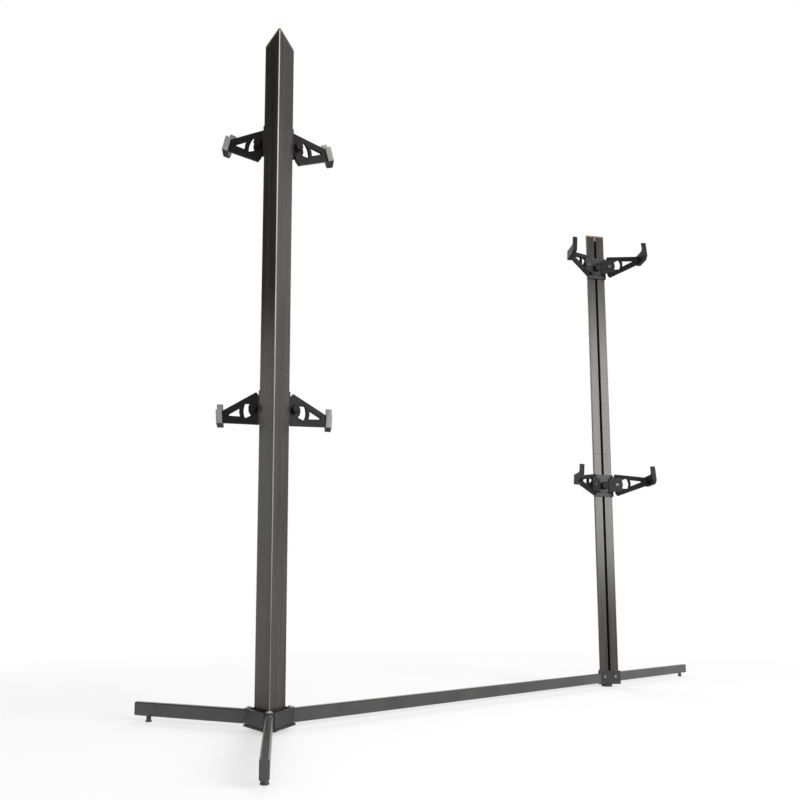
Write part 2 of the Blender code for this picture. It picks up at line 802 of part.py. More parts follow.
def main():
    clear_scene()
    aluminium = material("black_aluminium", (0.03, 0.03, 0.032), 0.32, 0.0)
    steel = material("black_steel", (0.028, 0.028, 0.03), 0.36, 0.0)
    cast = material("dark_hub", (0.05, 0.05, 0.052), 0.4, 0.0)
    plastic = material("black_plastic", (0.018, 0.018, 0.019), 0.5, 0.0)
    rubber = material("grey_rubber", (0.28, 0.28, 0.27), 0.8, 0.0)
    cap_plastic = material("cap_plastic", (0.09, 0.075, 0.065), 0.55, 0.0)
    zinc = material("zinc", (0.6, 0.6, 0.62), 0.35, 1.0)
    finishes = {"black": cast, "plastic": plastic, "rubber": rubber, "zinc": zinc}

    left = axis_frame("left_column_frame", (0, 0, 0))
    right = axis_frame("right_column_frame", right_column, math.pi)
    make_column("left", left, aluminium, cap_plastic)
    make_column("right", right, aluminium, cap_plastic)

    make_left_hub(cast)
    make_right_sleeve(right, cast)
    floor_pad("left_floor_pad", left, plastic)
    floor_pad("right_floor_pad", right, plastic)
    make_leg("left", left, LEFT_LEG_ANGLE, leg_start, LEFT_LEG_REACH, steel, plastic)
    make_leg("front", left, FRONT_LEG_ANGLE, leg_start, FRONT_LEG_REACH, steel, plastic)
    beam_end = COLUMN_SPACING - sleeve_corner - GAP
    node("beam", tube(leg_start, beam_end), steel, left, turn=along(BEAM_ANGLE))
    right_leg_turn = math.pi + BEAM_ANGLE
    make_leg("right", right, right_leg_turn, sleeve_face + GAP, RIGHT_LEG_REACH, steel, plastic)

    arm = arm_mesh()
    liner = liner_mesh()
    knob = knob_mesh()
    shapes = {
        "bracket": bracket_mesh(),
        "tee_bolt": tee_bolt_mesh(),
        "lock_knob": lock_knob_mesh(),
        ("arm", 1): arm,
        ("arm", -1): mirrored(arm),
        ("liner", 1): liner,
        ("liner", -1): mirrored(liner),
        ("knob", 1): knob,
        ("knob", -1): mirrored(knob),
    }
    make_cradle("left_upper", left, LEFT_UPPER_CRADLE, LEFT_UPPER_TILT, shapes, finishes)
    make_cradle("left_lower", left, LEFT_LOWER_CRADLE, LEFT_LOWER_TILT, shapes, finishes)
    make_cradle("right_upper", right, RIGHT_UPPER_CRADLE, RIGHT_UPPER_TILT, shapes, finishes)
    make_cradle("right_lower", right, RIGHT_LOWER_CRADLE, RIGHT_LOWER_TILT, shapes, finishes)


main()
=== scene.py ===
# %% [markdown]
# # A parking stand with four cradles
# Two triangular columns stand on a long floor beam. Each carries two cradles, and each cradle has
# two truss arms that end in hooks lined with rubber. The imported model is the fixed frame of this
# scene: it gives every piece its place, and this file gives the pieces their finer shapes and
# finishes.

import math

import bpy
import numpy as np
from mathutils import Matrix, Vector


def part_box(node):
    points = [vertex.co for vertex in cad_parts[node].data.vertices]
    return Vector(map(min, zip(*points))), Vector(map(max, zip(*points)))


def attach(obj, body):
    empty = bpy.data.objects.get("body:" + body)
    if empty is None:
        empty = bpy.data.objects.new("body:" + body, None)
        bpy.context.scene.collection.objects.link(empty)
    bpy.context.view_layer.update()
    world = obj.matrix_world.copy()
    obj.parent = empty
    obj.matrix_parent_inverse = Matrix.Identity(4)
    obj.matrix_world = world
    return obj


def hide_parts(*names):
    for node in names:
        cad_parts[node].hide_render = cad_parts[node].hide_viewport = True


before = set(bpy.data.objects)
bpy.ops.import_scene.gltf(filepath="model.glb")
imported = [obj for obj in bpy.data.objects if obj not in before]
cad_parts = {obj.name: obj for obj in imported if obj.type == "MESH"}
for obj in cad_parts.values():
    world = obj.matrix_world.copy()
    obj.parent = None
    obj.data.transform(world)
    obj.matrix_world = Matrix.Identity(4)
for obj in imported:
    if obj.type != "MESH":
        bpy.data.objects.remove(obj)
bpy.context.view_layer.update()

# %% [markdown]
# ## Sizes shared with the solids
# The scene repeats the solids' named values, in metres, because it reads nothing but the frame.
# Every new piece is drawn in the axes of what carries it and then moved by one 4 x 4 matrix.

# %% Sizes
COLUMN_SIDE = 0.0915
COLUMN_WALL = 0.0025
COLUMN_CORNER = 0.004
SLOT_WIDTH = 0.010
COLUMN_SPACING = 1.66
BEAM_ANGLE = math.radians(30)
ARM_SPREAD = math.radians(30)
FACE = COLUMN_SIDE / (2 * math.sqrt(3))
GAP = 0.0003
# each cradle: whether it is on the right column, the height of its arms' pivots, their tilt at rest
CRADLES = {
    "left_upper": (False, 1.745, math.radians(18)),
    "left_lower": (False, 0.920, math.radians(-4)),
    "right_upper": (True, 1.890, math.radians(5)),
    "right_lower": (True, 0.880, math.radians(5)),
}
# each cradle's two arms: their number and the side of the column, along its X, that they are on
ARMS = ((1, 1), (2, -1))


def turn(angle, first, second):
    """4 x 4 turn that carries axis number first towards axis number second."""
    made = np.eye(4)
    made[first, first] = made[second, second] = math.cos(angle)
    made[first, second] = -math.sin(angle)
    made[second, first] = math.sin(angle)
    return made


def turn_x(angle):
    """4 x 4 turn about X."""
    return turn(angle, 1, 2)


def turn_y(angle):
    """4 x 4 turn about Y."""
    return turn(angle, 2, 0)


def turn_z(angle):
    """4 x 4 turn about Z."""
    return turn(angle, 0, 1)


def move(x, y, z):
    """4 x 4 move."""
    made = np.eye(4)
    made[:3, 3] = (x, y, z)
    return made


LEFT = np.eye(4)
RIGHT = (
    move(COLUMN_SPACING * math.cos(BEAM_ANGLE), COLUMN_SPACING * math.sin(BEAM_ANGLE), 0)
    @ turn_z(math.pi)
)
print("right column at", RIGHT[:3, 3].round(3))

# %% [markdown]
# ## The camera
# The photograph is taken from a low viewpoint close to the left column, so the right column looks
# much smaller. The lens points up by about five degrees, and a vertical shift brings in the rest of
# the height, which keeps the columns nearly parallel, as an architect's lens does. The camera could
# be placed by eye, but a fit is closer. Its distance, y, and its vertical shift were picked from a
# few tries and held, and least squares gave the other numbers from the corners of the columns and
# the ends of the legs.

# %% Camera
CAMERA_FITTED = {"x": 0.0255, "y": -1.80, "z": 0.3334, "yaw": -0.1474, "pitch": 0.0932}
PHOTO_PIXELS = 800
FOCAL_PIXELS, SHIFT_X, SHIFT_Y = 634.3, -24.9, 150.0
SENSOR_WIDTH = 36
camera_data = bpy.data.cameras.new("camera")
camera_data.sensor_width = SENSOR_WIDTH
camera_data.lens = SENSOR_WIDTH * FOCAL_PIXELS / PHOTO_PIXELS
camera_data.shift_x = -SHIFT_X / PHOTO_PIXELS
camera_data.shift_y = SHIFT_Y / PHOTO_PIXELS
camera_data.clip_end = 100
camera = bpy.data.objects.new("camera", camera_data)
bpy.context.collection.objects.link(camera)
camera.location = (CAMERA_FITTED["x"], CAMERA_FITTED["y"], CAMERA_FITTED["z"])
camera.rotation_euler = (math.pi / 2 + CAMERA_FITTED["pitch"], 0, CAMERA_FITTED["yaw"])
bpy.context.scene.camera = camera
print("lens", round(camera_data.lens, 1), "mm")

# %% [markdown]
# ## Turning arrays into meshes
# Nearly every piece here is a grid of points: rows along the piece and columns round it. One
# helper writes such a grid with foreach_set, which is much faster than adding vertices one by one.
# A column's two ends are slotted triangles that no fan can close, so a prism gets each end as one
# polygon, and from_pydata writes it.


# %% Mesh helpers
SMOOTH_BELOW = 35


def smoothed(mesh, smooth_below=SMOOTH_BELOW):
    """The mesh shaded smooth, but for edges that turn by more degrees than that."""
    mesh.validate()
    mesh.shade_smooth()
    mesh.set_sharp_from_angle(angle=math.radians(smooth_below))
    return mesh


def write_mesh(name, points, faces, smooth_below=SMOOTH_BELOW):
    """A mesh from (n, 3) points and a list of face index arrays of 3 or 4 corners each."""
    mesh = bpy.data.meshes.new(name)
    mesh.vertices.add(len(points))
    mesh.vertices.foreach_set("co", np.asarray(points, np.float32).ravel())
    corners = np.concatenate([group.ravel() for group in faces])
    sizes = np.concatenate([np.full(len(group), group.shape[1]) for group in faces])
    mesh.loops.add(len(corners))
    mesh.loops.foreach_set("vertex_index", corners.astype(np.int32))
    mesh.polygons.add(len(sizes))
    starts = np.concatenate([[0], np.cumsum(sizes)[:-1]])
    mesh.polygons.foreach_set("loop_start", starts.astype(np.int32))
    mesh.update(calc_edges=True)
    return smoothed(mesh, smooth_below)


def grid_faces(rows, cols, round_rows=False):
    """Quads of a grid whose columns wrap round; its rows wrap too where round_rows is set."""
    here = np.arange(rows if round_rows else rows - 1)[:, None] * cols
    above = (here + cols) % (rows * cols)
    col = np.arange(cols)[None, :]
    beside = (col + 1) % cols
    return np.stack([here + col, here + beside, above + beside, above + col], -1).reshape(-1, 4)


def placed(points, matrix):
    """Points moved by a 4 x 4 matrix."""
    return points @ matrix[:3, :3].T + matrix[:3, 3]


def piece(name, mesh, material, body, *nodes):
    """Adds a piece to the scene, on its body, standing for the named nodes."""
    made = bpy.data.objects.new(name, mesh)
    bpy.context.collection.objects.link(made)
    mesh.materials.append(material)
    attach(made, body)
    if nodes:
        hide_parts(*nodes)
    return made


def closed_grid(name, grid, matrix):
    """A mesh from rings (rows, cols, 3), closed by a fan at each end; a mirror turns its faces."""
    rows, cols = grid.shape[:2]
    middles = grid[[0, -1]].mean(axis=1)
    points = placed(np.concatenate([grid.reshape(-1, 3), middles]), matrix)
    col = np.arange(cols)
    beside = (col + 1) % cols
    last_row = (rows - 1) * cols
    first = np.stack([beside, col, np.full(cols, rows * cols)], -1)
    last = np.stack([last_row + col, last_row + beside, np.full(cols, rows * cols + 1)], -1)
    faces = [grid_faces(rows, cols), first, last]
    if np.linalg.det(matrix[:3, :3]) < 0:
        faces = [face[:, ::-1] for face in faces]
    return write_mesh(name, points, faces)


def turned(name, profile, matrix, around=48, lobes=0, depth=0.0, power=1.0):
    """Radius and height along a profile, turned about Z, with lobes round the rim.

    r(u, a) = r(u) - depth * w(u) * |sin(lobes * a / 2)| ** power, with w a weight per profile row.
    """
    profile = np.asarray(profile, float)
    angle = np.linspace(0, 2 * np.pi, around, endpoint=False)[None, :]
    weight = profile[:, 2:3] if profile.shape[1] > 2 else np.zeros((len(profile), 1))
    radius = profile[:, :1] - depth * weight * np.abs(np.sin(lobes * angle / 2)) ** power
    height = profile[:, 1:2] + 0 * angle
    grid = np.stack([radius * np.cos(angle), radius * np.sin(angle), height], -1)
    return closed_grid(name, grid, matrix)


def prism(name, outline, low, high, matrix, lips=0.0005):
    """An outline in XY carried along Z, with its end rings pulled in a little.

    The pull follows each point's own normal, worked out from its neighbours along the outline.
    """
    outline = np.asarray(outline, float)
    along = np.roll(outline, -1, 0) - np.roll(outline, 1, 0)
    along /= np.linalg.norm(along, axis=1, keepdims=True)
    inward = np.stack([-along[:, 1], along[:, 0]], -1)
    heights = np.array([low, low + lips, high - lips, high])
    pulls = np.array([lips, 0, 0, lips])
    flat = outline[None] + pulls[:, None, None] * inward[None]
    rows, cols = flat.shape[:2]
    upright = np.broadcast_to(heights[:, None, None], (rows, cols, 1))
    points = placed(np.concatenate([flat, upright], -1).reshape(-1, 3), matrix)
    quads = grid_faces(rows, cols).tolist()
    bottom = list(range(cols))[::-1]
    top = [(rows - 1) * cols + col for col in range(cols)]
    mesh = bpy.data.meshes.new(name)
    mesh.from_pydata(points.tolist(), [], quads + [bottom, top])
    return smoothed(mesh)


print("helpers ready")

# %% [markdown]
# ## Finishes
# Every finish is a Principled shader fed by three noises in object space: one drifts the colour,
# one drifts the gloss and a fine one is the surface's grain. One even colour each would do from
# afar, but close up a coat or a moulding varies a little all over. Object space keeps the pattern
# still when a piece moves with its joint.


# %% Finishes
COLOUR_DRIFT = {"scale": 7, "detail": 5}
GLOSS_DRIFT = {"scale": 23, "detail": 6}
GRAIN_DETAIL = 3
GRAIN_STRENGTH = 0.6
RAMP_START, RAMP_END = 0.35, 0.65


def finish(
    name,
    low,
    high,
    roughness,
    drift,
    grain,
    grain_scale,
    metallic=0.0,
    stretch=(1, 1, 1),
    gloss=0.5,
):
    """A finish between two colours, with drifting roughness and a grain bump of that height."""
    made = bpy.data.materials.new(name)
    made.use_nodes = True
    tree = made.node_tree
    shader = tree.nodes["Principled BSDF"]
    shader.inputs["Metallic"].default_value = metallic
    shader.inputs["Specular IOR Level"].default_value = gloss
    place = tree.nodes.new("ShaderNodeTexCoord")
    scaled = tree.nodes.new("ShaderNodeMapping")
    scaled.inputs["Scale"].default_value = stretch
    tree.links.new(place.outputs["Object"], scaled.inputs["Vector"])

    def noise(scale, detail):
        made_noise = tree.nodes.new("ShaderNodeTexNoise")
        made_noise.inputs["Scale"].default_value = scale
        made_noise.inputs["Detail"].default_value = detail
        tree.links.new(scaled.outputs["Vector"], made_noise.inputs["Vector"])
        return made_noise.outputs["Fac"]

    ramp = tree.nodes.new("ShaderNodeValToRGB")
    ramp.color_ramp.elements[0].position = RAMP_START
    ramp.color_ramp.elements[0].color = (*low, 1)
    ramp.color_ramp.elements[1].position = RAMP_END
    ramp.color_ramp.elements[1].color = (*high, 1)
    tree.links.new(noise(**COLOUR_DRIFT), ramp.inputs["Fac"])
    tree.links.new(ramp.outputs["Color"], shader.inputs["Base Color"])

    rough = tree.nodes.new("ShaderNodeMapRange")
    rough.inputs["To Min"].default_value = roughness - drift
    rough.inputs["To Max"].default_value = roughness + drift
    tree.links.new(noise(**GLOSS_DRIFT), rough.inputs["Value"])
    tree.links.new(rough.outputs["Result"], shader.inputs["Roughness"])

    bump = tree.nodes.new("ShaderNodeBump")
    bump.inputs["Strength"].default_value = GRAIN_STRENGTH
    bump.inputs["Distance"].default_value = grain
    tree.links.new(noise(grain_scale, GRAIN_DETAIL), bump.inputs["Height"])
    tree.links.new(bump.outputs["Normal"], shader.inputs["Normal"])
    return made


# name, darker colour, lighter colour, roughness and its drift, grain height in metres, grain scale
column_coat = finish(
    "column_coat",
    (0.018, 0.0155, 0.0135),
    (0.032, 0.028, 0.0245),
    0.25,
    0.05,
    0.00008,
    420,
    stretch=(9, 9, 0.35),
    gloss=0.30,
)
leg_coat = finish(
    "leg_coat", (0.026, 0.026, 0.026), (0.038, 0.037, 0.036), 0.25, 0.05, 0.0001, 520
)
hub_coat = finish(
    "hub_coat", (0.013, 0.013, 0.013), (0.021, 0.021, 0.020), 0.34, 0.06, 0.00015, 420, gloss=0.25
)
bracket_coat = finish(
    "bracket_coat",
    (0.012, 0.012, 0.0125),
    (0.020, 0.020, 0.020),
    0.42,
    0.06,
    0.0002,
    600,
    gloss=0.18,
)
arm_plastic = finish(
    "arm_plastic",
    (0.007, 0.007, 0.0075),
    (0.012, 0.012, 0.0125),
    0.5,
    0.06,
    0.0002,
    900,
    gloss=0.10,
)
foot_plastic = finish(
    "foot_plastic", (0.016, 0.016, 0.016), (0.026, 0.026, 0.026), 0.6, 0.08, 0.0003, 700
)
cap_plastic = finish(
    "cap_plastic", (0.120, 0.080, 0.062), (0.165, 0.114, 0.090), 0.5, 0.05, 0.0002, 500
)
liner_rubber = finish(
    "liner_rubber", (0.135, 0.135, 0.130), (0.215, 0.215, 0.210), 0.75, 0.08, 0.0003, 800
)
zinc = finish(
    "zinc", (0.34, 0.34, 0.35), (0.46, 0.46, 0.47), 0.36, 0.08, 0.0001, 300, metallic=1.0
)
bolt_steel = finish(
    "bolt_steel", (0.10, 0.10, 0.105), (0.16, 0.16, 0.165), 0.38, 0.08, 0.0001, 300, metallic=1.0
)
print(len(bpy.data.materials), "materials")

# %% [markdown]
# ## Painted corner highlights
# A column's corners carry a painted highlight, a lighter tone that stands in for the light caught
# on their rounded edges, strongest near the top. It could be an image texture, but a value at each
# mesh point needs no unwrapping: 1 along a corner's middle and 0 on the faces. A noise breaks the
# line up, and a ramp fades it towards the floor.


# %% Painted corner highlights
# the corners' painted highlight: its colour, the heights in metres over which its share rises, and
# its share below them
HIGHLIGHT_COLOUR = (0.55, 0.53, 0.50)
HIGHLIGHT_FROM, HIGHLIGHT_TO = 0.9, 1.5
HIGHLIGHT_SHARE_BELOW = 0.3
# the noise that breaks the painted highlight into patches
PATCH_SCALE, PATCH_DETAIL = 5, 4
PATCH_LOW, PATCH_HIGH, PATCH_LEAST = 0.3, 0.6, 0.55


def combined(tree, operation, first, second):
    """The output of a Math node that works on two sockets."""
    made = tree.nodes.new("ShaderNodeMath")
    made.operation = operation
    tree.links.new(first, made.inputs[0])
    tree.links.new(second, made.inputs[1])
    return made.outputs["Value"]


def paint_corner_highlight(coat):
    """Where the mesh's "edge" attribute is high, a painted highlight lightens the coat.

    share = edge * noise * (a ramp up the height, so the painted highlight is strongest at the top)
    """
    tree = coat.node_tree
    shader = tree.nodes["Principled BSDF"]
    plain = shader.inputs["Base Color"].links[0].from_socket
    edge = tree.nodes.new("ShaderNodeAttribute")
    edge.attribute_name = "edge"
    place = tree.nodes.new("ShaderNodeTexCoord")
    axes = tree.nodes.new("ShaderNodeSeparateXYZ")
    tree.links.new(place.outputs["Object"], axes.inputs["Vector"])
    rise = tree.nodes.new("ShaderNodeMapRange")
    rise.inputs["From Min"].default_value = HIGHLIGHT_FROM
    rise.inputs["From Max"].default_value = HIGHLIGHT_TO
    rise.inputs["To Min"].default_value = HIGHLIGHT_SHARE_BELOW
    tree.links.new(axes.outputs["Z"], rise.inputs["Value"])
    patches = tree.nodes.new("ShaderNodeTexNoise")
    patches.inputs["Scale"].default_value = PATCH_SCALE
    patches.inputs["Detail"].default_value = PATCH_DETAIL
    tree.links.new(place.outputs["Object"], patches.inputs["Vector"])
    clipped = tree.nodes.new("ShaderNodeMapRange")
    clipped.inputs["From Min"].default_value = PATCH_LOW
    clipped.inputs["From Max"].default_value = PATCH_HIGH
    clipped.inputs["To Min"].default_value = PATCH_LEAST
    tree.links.new(patches.outputs["Fac"], clipped.inputs["Value"])
    patched = combined(tree, "MULTIPLY", edge.outputs["Fac"], clipped.outputs["Result"])
    share = combined(tree, "MULTIPLY", patched, rise.outputs["Result"])
    # the painted highlight's colour, mixed over the coat by its share
    mixed = tree.nodes.new("ShaderNodeMix")
    mixed.data_type = "RGBA"
    mixed.inputs["B"].default_value = (*HIGHLIGHT_COLOUR, 1)
    tree.links.new(share, mixed.inputs["Factor"])
    tree.links.new(plain, mixed.inputs["A"])
    tree.links.new(mixed.outputs["Result"], shader.inputs["Base Color"])


# a painted highlight along the columns' corners
paint_corner_highlight(column_coat)
print("corners rubbed between", HIGHLIGHT_FROM, "and", HIGHLIGHT_TO, "m")

# %% [markdown]
# ## The nodes that stay
# Where a solid already has the real shape it stays, with a finish of its own kind. Sharp edges
# never look real, so the moulded and welded pieces get a thin bevel. It could be cut into the
# solids, but a modifier leaves the frame alone. The mesh arrives as loose triangles, and a Weld
# joins them first. Weighted normals then keep the wide faces flat and let only the bevels shade.

# %% Finish every node of the frame
KINDS = (
    ("column_cap", cap_plastic),
    ("column", column_coat),
    ("channel", column_coat),
    ("liner", liner_rubber),
    ("tee_bolt", zinc),
    ("knob", arm_plastic),
    ("arm", arm_plastic),
    ("end_cap", foot_plastic),
    ("pad", foot_plastic),
    ("levelling_foot", foot_plastic),
    ("bracket", bracket_coat),
    ("hub", hub_coat),
    ("sleeve", hub_coat),
    ("", leg_coat),
)
BEVELS = {
    "arm_": 0.0009,
    "bracket": 0.0006,
    "hub": 0.0008,
    "sleeve": 0.0006,
    "end_cap": 0.0008,
    "column_cap": 0.0009,
}
WELD_DISTANCE = 0.00002
BEVEL_ANGLE = math.radians(40)
BEVEL_STEPS = 2
WIDE_FACE_WEIGHT = 100


def soften(node, width):
    """Welds a node's triangles, bevels its edges by that width and evens its normals."""
    weld = node.modifiers.new("weld", "WELD")
    weld.merge_threshold = WELD_DISTANCE
    bevel = node.modifiers.new("bevel", "BEVEL")
    bevel.width = width
    bevel.segments = BEVEL_STEPS
    bevel.limit_method = "ANGLE"
    bevel.angle_limit = BEVEL_ANGLE
    bevel.use_clamp_overlap = True
    even = node.modifiers.new("even", "WEIGHTED_NORMAL")
    even.weight = WIDE_FACE_WEIGHT
    even.keep_sharp = True


for name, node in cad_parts.items():
    coat = next(material for part, material in KINDS if part in name)
    for slot in node.material_slots:
        slot.material = coat
    for part, width in BEVELS.items():
        if part in name:
            soften(node, width)
            break
print(len(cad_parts), "nodes finished")

# %% [markdown]
# ## The columns
# A column is an extruded triangle with a slot down the side that carries its cradles. It could be a
# lofted box with a cut, but its section is one closed line, out along the outside and back along
# the inside, so carrying that line up the height gives the slot and the wall at once. The corners
# are arcs, outside and inside, with ten points where the solid has four.


# %% Column section
CORNER_STEPS = 10
INNER_CORNER = 0.0015
SLOT_LIP = 0.0006
LIP_END = 0.0015
TUBE_END_LIP = 0.0004


def corner_points(distance, corner, steps, margin=0.001):
    """Corners of an equilateral triangle with a face at +Y, each an arc of the given radius.

    One more point a margin before each arc and one after it lie on the flat faces, so that the
    smooth shading of the arc ends there and the faces look flat.
    """
    out = np.radians([150, 270, 390])[:, None]
    bend = np.pad(np.linspace(-60, 60, steps), 1, mode="edge")
    slide = np.zeros(steps + 2)
    slide[[0, -1]] = -margin, margin
    angle = out + np.radians(bend)[None, :]
    centre = 2 * (distance - corner)
    x = centre * np.cos(out) + corner * np.cos(angle) - slide * np.sin(angle)
    y = centre * np.sin(out) + corner * np.sin(angle) + slide * np.cos(angle)
    return np.stack([x, y], -1).reshape(-1, 2)


def column_section(steps=CORNER_STEPS):
    """The slotted tube's outline, with rounded lips at the slot."""
    lip, half = SLOT_LIP, SLOT_WIDTH / 2
    inner = FACE - COLUMN_WALL
    left_lip = [(-half, inner), (-half, FACE - lip), (-half - lip * 0.3, FACE - lip * 0.3)]
    left_lip += [(-half - lip, FACE), (-half - LIP_END, FACE)]
    right_lip = [(-x, y) for x, y in left_lip[::-1]]
    outside = corner_points(FACE, COLUMN_CORNER, steps)
    inside = corner_points(inner, INNER_CORNER, steps)[::-1]
    return np.concatenate([left_lip, outside, right_lip, inside])


def corner_highlight_share(steps=CORNER_STEPS):
    """Painted highlight per section point: 1 in the middle of each outer corner, 0 away from it.

    highlight(s) = 1.25 - 2.6 * |s|, kept in 0 to 1, with s from -1 to 1 along the corner's arc.
    """
    arc = np.clip(1.25 - np.abs(np.linspace(-1, 1, steps)) * 2.6, 0, 1)
    highlight = np.zeros(len(column_section(steps)))
    lip_points = 5
    highlight[lip_points : lip_points + 3 * (steps + 2)] = np.tile(np.pad(arc, 1), 3)
    return highlight


for side, column in (("left", LEFT), ("right", RIGHT)):
    for half_name in ("lower", "upper"):
        node_name = f"{side}_column_{half_name}"
        low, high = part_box(node_name)
        section = column_section()
        mesh = prism(f"{node_name}_tube", section, low[2], high[2], column, TUBE_END_LIP)
        # the painted corner highlight's share at each point, kept in the mesh's "edge" attribute
        highlighted = mesh.attributes.new("edge", "FLOAT", "POINT")
        ring_count = len(mesh.vertices) // len(section)
        highlighted.data.foreach_set("value", np.tile(corner_highlight_share(), ring_count).astype(np.float32))
        piece(f"{node_name}_tube", mesh, column_coat, "stand", node_name)
print("columns", len(column_section()), "points round")

# %% [markdown]
# ## Knobs
# A hand knob is a turned shape whose rim waves in and out so that fingers grip it. It could be a
# cylinder with grooves cut in by booleans, but the radius is a plain function of height and angle,
# so one formula gives the neck, the lobed rim and the dished top. The stud through the arm and the
# bolt's head on the other side are turned too.


# %% Where the arms turn
TILT_LIMIT = math.radians(30)
ARM_HALF = 0.004
KNOB_BASE = ARM_HALF + GAP
KNOB_NECK = 0.008
KNOB_RADIUS = 0.0135
KNOB_CLEARANCE = 0.002
PLATE_THICKNESS = 0.004
ROOT_CLEARANCE = 0.001
# the arm's rear corners: how far each is behind the pivot and above or below it
ROOT_CORNERS = ((0.004, 0.049), (0.012, 0.036))
ROOT_SWEEP = max(
    back * math.cos(TILT_LIMIT) + off * math.sin(TILT_LIMIT) for back, off in ROOT_CORNERS
)
PIVOT_X = (
    COLUMN_SIDE / 2
    + KNOB_CLEARANCE
    - (KNOB_BASE + KNOB_NECK) * math.sin(ARM_SPREAD)
    + KNOB_RADIUS * math.cos(ARM_SPREAD)
)
PLATE_FRONT = FACE + GAP + PLATE_THICKNESS
ROOT_DEPTH = ROOT_SWEEP * math.sin(ARM_SPREAD) + ARM_HALF * math.cos(ARM_SPREAD)
PIVOT_Y = PLATE_FRONT + ROOT_CLEARANCE + ROOT_DEPTH


def pivot_matrix(right, height, side):
    """Axes of an arm at rest before its tilt: X out along the arm, Y across it, Z up."""
    column = RIGHT if right else LEFT
    spread = ARM_SPREAD if side > 0 else math.pi - ARM_SPREAD
    return column @ move(side * PIVOT_X, PIVOT_Y, height) @ turn_z(spread)


print("arms turn", round(PIVOT_X, 4), "beside and", round(PIVOT_Y, 4), "before a column's axis")

# %% Knob profiles
KNOB_NECK_RADIUS = 0.008
KNOB_THICKNESS = 0.012
EAR_THICKNESS = 0.0035
EAR_FAR = KNOB_BASE + EAR_THICKNESS
STUD_INSET = 0.001
STUD = [(0.0034, 0), (0.004, 0.0005), (0.004, 0.0205)]
BOLT_HEAD = [(0.0066, 0), (0.0075, 0.0004), (0.0075, 0.0034), (0.0066, 0.004)]
BOLT_HEAD += [(0.0034, 0.004), (0.0032, 0.0022), (0.0005, 0.0020)]
BOSS_DEPTH = 0.008
LOCK_NECK_RADIUS = 0.0126
LOCK_NECK = 0.0032
LOCK_RADIUS = 0.018
LOCK_THICKNESS = 0.0128
KNOB_LOBES = {"around": 96, "lobes": 6, "depth": 0.0016, "power": 1.6}
LOCK_LOBES = {"around": 96, "lobes": 6, "depth": 0.0022, "power": 1.6}
DISH_DEPTH = 0.0012


def knob_profile(neck, start, radius, thick, steps=9):
    """Rows of (radius, height, lobe weight): neck, rounded rim, dished top.

    On the rim, with b from 0 to pi: r = radius - 0.28 * thick * (1 - sin(b)) ** 1.5.
    """
    bend = np.linspace(0, np.pi, steps)
    rim_radius = radius - thick * 0.28 * (1 - np.sin(bend)) ** 1.5
    rim_height = start + thick * (0.5 - 0.5 * np.cos(bend))
    rim = np.stack([rim_radius, rim_height, 0.35 + 0.65 * np.sin(bend)], -1)
    shaft = [(neck * 0.9, 0, 0), (neck, 0.0004, 0), (neck, start * 0.8, 0)]
    top = start + thick
    dish = [
        (radius * 0.60, top, 0.2),
        (radius * 0.52, top - DISH_DEPTH, 0),
        (radius * 0.30, top - DISH_DEPTH, 0),
        (radius * 0.27, top - 0.0004, 0),
        (radius * 0.06, top - 0.0002, 0),
    ]
    return np.concatenate([shaft, rim, dish])


GRIP = knob_profile(KNOB_NECK_RADIUS, KNOB_NECK, KNOB_RADIUS, KNOB_THICKNESS)
LOCK = knob_profile(LOCK_NECK_RADIUS, LOCK_NECK, LOCK_RADIUS, LOCK_THICKNESS)
print("knob rows", len(GRIP), "lock rows", len(LOCK))

# %% Knobs
for name, (right, height, tilt) in CRADLES.items():
    for number, side in ARMS:
        base = pivot_matrix(right, height, side)
        away = turn_x(side * math.pi / 2)
        back = away @ turn_x(math.pi)
        body = f"{name}_grip_{number}"
        at = base @ move(0, -side * KNOB_BASE, 0) @ away
        mesh = turned(body, GRIP, at, **KNOB_LOBES)
        piece(f"{body}_lobed", mesh, arm_plastic, body, f"{name}_knob_{number}")
        at = base @ move(0, -side * (KNOB_BASE + STUD_INSET), 0) @ back
        mesh = turned(f"{name}_stud_{number}", STUD, at, 24)
        piece(f"{name}_stud_{number}", mesh, bolt_steel, body)
        at = base @ move(0, side * (EAR_FAR + GAP), 0) @ back
        mesh = turned(f"{name}_head_{number}", BOLT_HEAD, at, 48)
        piece(f"{name}_head_{number}", mesh, bolt_steel, body)
    column = RIGHT if right else LEFT
    at = column @ move(0, FACE + 2 * GAP + BOSS_DEPTH, height) @ turn_x(-math.pi / 2)
    mesh = turned(f"{name}_lock_lobed", LOCK, at, **LOCK_LOBES)
    piece(f"{name}_lock_lobed", mesh, arm_plastic, f"{name}_lock", f"{name}_lock_knob")
print("knobs", 3 * len(CRADLES))

# %% [markdown]
# ## Rims of the arms
# The arms are moulded, and a moulded plate has a raised rim round each window, which stiffens it
# and catches the light. It could be an inset and extrude on the solid, but the solid is the fixed
# frame, so each rim is a small rounded section carried round the window's outline. The crescent's
# inner side stays bare, because the bracket's ear slides over it when the arm tilts.


# %% Lines and the rim's section
def arc_line(radius, start, end, steps):
    """Points of a circle's arc between two angles in degrees."""
    angle = np.radians(np.linspace(start, end, steps))
    return np.stack([radius * np.cos(angle), radius * np.sin(angle)], -1)


def along_path(path, at, run):
    """Points of a path at the given distances, with run the distance at each of its own points."""
    return np.stack([np.interp(at, run, path[:, axis]) for axis in range(2)], -1)


def distances(path):
    """The distance from the path's start to each of its points."""
    return np.concatenate([[0], np.cumsum(np.linalg.norm(np.diff(path, axis=0), axis=1))])


